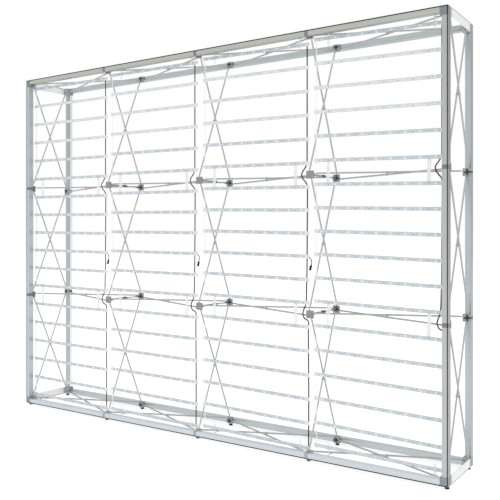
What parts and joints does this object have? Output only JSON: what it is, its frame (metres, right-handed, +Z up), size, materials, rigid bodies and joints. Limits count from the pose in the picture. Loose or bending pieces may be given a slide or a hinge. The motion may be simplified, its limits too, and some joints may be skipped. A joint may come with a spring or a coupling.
{
  "type": "lightbox display wall",
  "caption": "Free-standing pop-up lightbox wall: scissor-rod grid of hubs with grooved channel edging front and rear, hanging light-strip curtains, lock arms and levelling feet.",
  "frame": {"origin": "on the floor, under the middle of the wall", "axes": "+X along the wall, +Y from the lit front to the rear, +Z up"},
  "size_m": [2.954, 0.39, 2.238],
  "materials": {
    "channel_aluminium": "satin anodised extrusion",
    "hub_plastic": "moulded mid-grey nylon",
    "rear_hub_plastic": "moulded dark grey nylon",
    "rod_aluminium": "satin anodised tube",
    "fastener_steel": "plain steel",
    "panel_white": "white powder coat",
    "arm_plastic": "moulded dark grey nylon",
    "foot_rubber": "black rubber",
    "strip_board": "pale printed light board",
    "lens_clear": "clear moulded lens",
    "holder_clear": "milky clear moulding",
    "strap_clear": "thin milky band",
    "clip_clear": "smoky clear moulding",
    "wire_red": "vinyl sleeve",
    "wire_black": "vinyl sleeve",
    "lead_grey": "vinyl sleeve",
    "plug_black": "moulded black plastic"
  },
  "bodies": {
    "frame": {"curtain_clips": "clip_clear", "curtain_hooks": "clip_clear", "curtain_straps": "strap_clear", "curtain_wires_black": "wire_black", "curtain_wires_red": "wire_red", "end_panels": "panel_white", "front_bottom_bars": "channel_aluminium", "front_corner_hubs": "hub_plastic", "front_edge_hubs": "hub_plastic", "front_inner_hubs": "hub_plastic", "front_side_bars": "channel_aluminium", "front_top_bars": "channel_aluminium", "hub_pins": "fastener_steel", "lead_plugs": "plug_black", "led_lead_1": "lead_grey", "led_lead_2": "lead_grey", "led_lead_3": "lead_grey", "led_lead_4": "lead_grey", "led_lenses": "lens_clear", "led_strips_1": "strip_board", "led_strips_2": "strip_board", "led_strips_3": "strip_board", "led_strips_4": "strip_board", "level_rods_in": "rod_aluminium", "level_rods_out": "rod_aluminium", "panel_dowels": "fastener_steel", "rear_bottom_bars": "channel_aluminium", "rear_corner_hubs": "rear_hub_plastic", "rear_edge_hubs": "rear_hub_plastic", "rear_inner_hubs": "rear_hub_plastic", "rear_side_bars": "channel_aluminium", "rear_top_bars": "channel_aluminium", "scissor_rivets": "fastener_steel", "strip_end_holders": "holder_clear", "upright_rods_falling": "rod_aluminium", "upright_rods_rising": "rod_aluminium"},
    "front_lock_arm_1": {"front_lock_arm_1": "arm_plastic"},
    "rear_lock_arm_1": {"rear_lock_arm_1": "arm_plastic"},
    "front_lock_arm_2": {"front_lock_arm_2": "arm_plastic"},
    "rear_lock_arm_2": {"rear_lock_arm_2": "arm_plastic"},
    "front_lock_arm_3": {"front_lock_arm_3": "arm_plastic"},
    "rear_lock_arm_3": {"rear_lock_arm_3": "arm_plastic"},
    "front_lock_arm_4": {"front_lock_arm_4": "arm_plastic"},
    "rear_lock_arm_4": {"rear_lock_arm_4": "arm_plastic"},
    "front_lock_arm_5": {"front_lock_arm_5": "arm_plastic"},
    "rear_lock_arm_5": {"rear_lock_arm_5": "arm_plastic"},
    "front_lock_arm_6": {"front_lock_arm_6": "arm_plastic"},
    "rear_lock_arm_6": {"rear_lock_arm_6": "arm_plastic"},
    "front_foot_1": {"front_foot_1": "foot_rubber"},
    "front_foot_2": {"front_foot_2": "foot_rubber"},
    "front_foot_3": {"front_foot_3": "foot_rubber"},
    "front_foot_4": {"front_foot_4": "foot_rubber"},
    "front_foot_5": {"front_foot_5": "foot_rubber"},
    "rear_foot_1": {"rear_foot_1": "foot_rubber"},
    "rear_foot_2": {"rear_foot_2": "foot_rubber"},
    "rear_foot_3": {"rear_foot_3": "foot_rubber"},
    "rear_foot_4": {"rear_foot_4": "foot_rubber"},
    "rear_foot_5": {"rear_foot_5": "foot_rubber"}
  },
  "joints": [
    {"name": "front_lock_arm_1_hinge", "type": "hinge", "parent": "frame", "child": "front_lock_arm_1", "pos_m": [-0.731, -0.123, 1.492], "axis": [1, 0, 0], "range_deg": [0, 50]},
    {"name": "rear_lock_arm_1_hinge", "type": "hinge", "parent": "frame", "child": "rear_lock_arm_1", "pos_m": [-0.731, 0.123, 1.492], "axis": [1, 0, 0], "range_deg": [0, 50]},
    {"name": "front_lock_arm_2_hinge", "type": "hinge", "parent": "frame", "child": "front_lock_arm_2", "pos_m": [0, -0.123, 1.492], "axis": [1, 0, 0], "range_deg": [0, 50]},
    {"name": "rear_lock_arm_2_hinge", "type": "hinge", "parent": "frame", "child": "rear_lock_arm_2", "pos_m": [0, 0.123, 1.492], "axis": [1, 0, 0], "range_deg": [0, 50]},
    {"name": "front_lock_arm_3_hinge", "type": "hinge", "parent": "frame", "child": "front_lock_arm_3", "pos_m": [0.731, -0.123, 1.492], "axis": [1, 0, 0], "range_deg": [0, 50]},
    {"name": "rear_lock_arm_3_hinge", "type": "hinge", "parent": "frame", "child": "rear_lock_arm_3", "pos_m": [0.731, 0.123, 1.492], "axis": [1, 0, 0], "range_deg": [0, 50]},
    {"name": "front_lock_arm_4_hinge", "type": "hinge", "parent": "frame", "child": "front_lock_arm_4", "pos_m": [-0.731, -0.123, 0.761], "axis": [1, 0, 0], "range_deg": [0, 50]},
    {"name": "rear_lock_arm_4_hinge", "type": "hinge", "parent": "frame", "child": "rear_lock_arm_4", "pos_m": [-0.731, 0.123, 0.761], "axis": [1, 0, 0], "range_deg": [0, 50]},
    {"name": "front_lock_arm_5_hinge", "type": "hinge", "parent": "frame", "child": "front_lock_arm_5", "pos_m": [0, -0.123, 0.761], "axis": [1, 0, 0], "range_deg": [0, 50]},
    {"name": "rear_lock_arm_5_hinge", "type": "hinge", "parent": "frame", "child": "rear_lock_arm_5", "pos_m": [0, 0.123, 0.761], "axis": [1, 0, 0], "range_deg": [0, 50]},
    {"name": "front_lock_arm_6_hinge", "type": "hinge", "parent": "frame", "child": "front_lock_arm_6", "pos_m": [0.731, -0.123, 0.761], "axis": [1, 0, 0], "range_deg": [0, 50]},
    {"name": "rear_lock_arm_6_hinge", "type": "hinge", "parent": "frame", "child": "rear_lock_arm_6", "pos_m": [0.731, 0.123, 0.761], "axis": [1, 0, 0], "range_deg": [0, 50]},
    {"name": "front_foot_1_level", "type": "slide", "parent": "frame", "child": "front_foot_1", "axis": [0, 0, -1], "range_m": [0, 0.01]},
    {"name": "front_foot_2_level", "type": "slide", "parent": "frame", "child": "front_foot_2", "axis": [0, 0, -1], "range_m": [0, 0.01]},
    {"name": "front_foot_3_level", "type": "slide", "parent": "frame", "child": "front_foot_3", "axis": [0, 0, -1], "range_m": [0, 0.01]},
    {"name": "front_foot_4_level", "type": "slide", "parent": "frame", "child": "front_foot_4", "axis": [0, 0, -1], "range_m": [0, 0.01]},
    {"name": "front_foot_5_level", "type": "slide", "parent": "frame", "child": "front_foot_5", "axis": [0, 0, -1], "range_m": [0, 0.01]},
    {"name": "rear_foot_1_level", "type": "slide", "parent": "frame", "child": "rear_foot_1", "axis": [0, 0, -1], "range_m": [0, 0.01]},
    {"name": "rear_foot_2_level", "type": "slide", "parent": "frame", "child": "rear_foot_2", "axis": [0, 0, -1], "range_m": [0, 0.01]},
    {"name": "rear_foot_3_level", "type": "slide", "parent": "frame", "child": "rear_foot_3", "axis": [0, 0, -1], "range_m": [0, 0.01]},
    {"name": "rear_foot_4_level", "type": "slide", "parent": "frame", "child": "rear_foot_4", "axis": [0, 0, -1], "range_m": [0, 0.01]},
    {"name": "rear_foot_5_level", "type": "slide", "parent": "frame", "child": "rear_foot_5", "axis": [0, 0, -1], "range_m": [0, 0.01]}
  ]
}
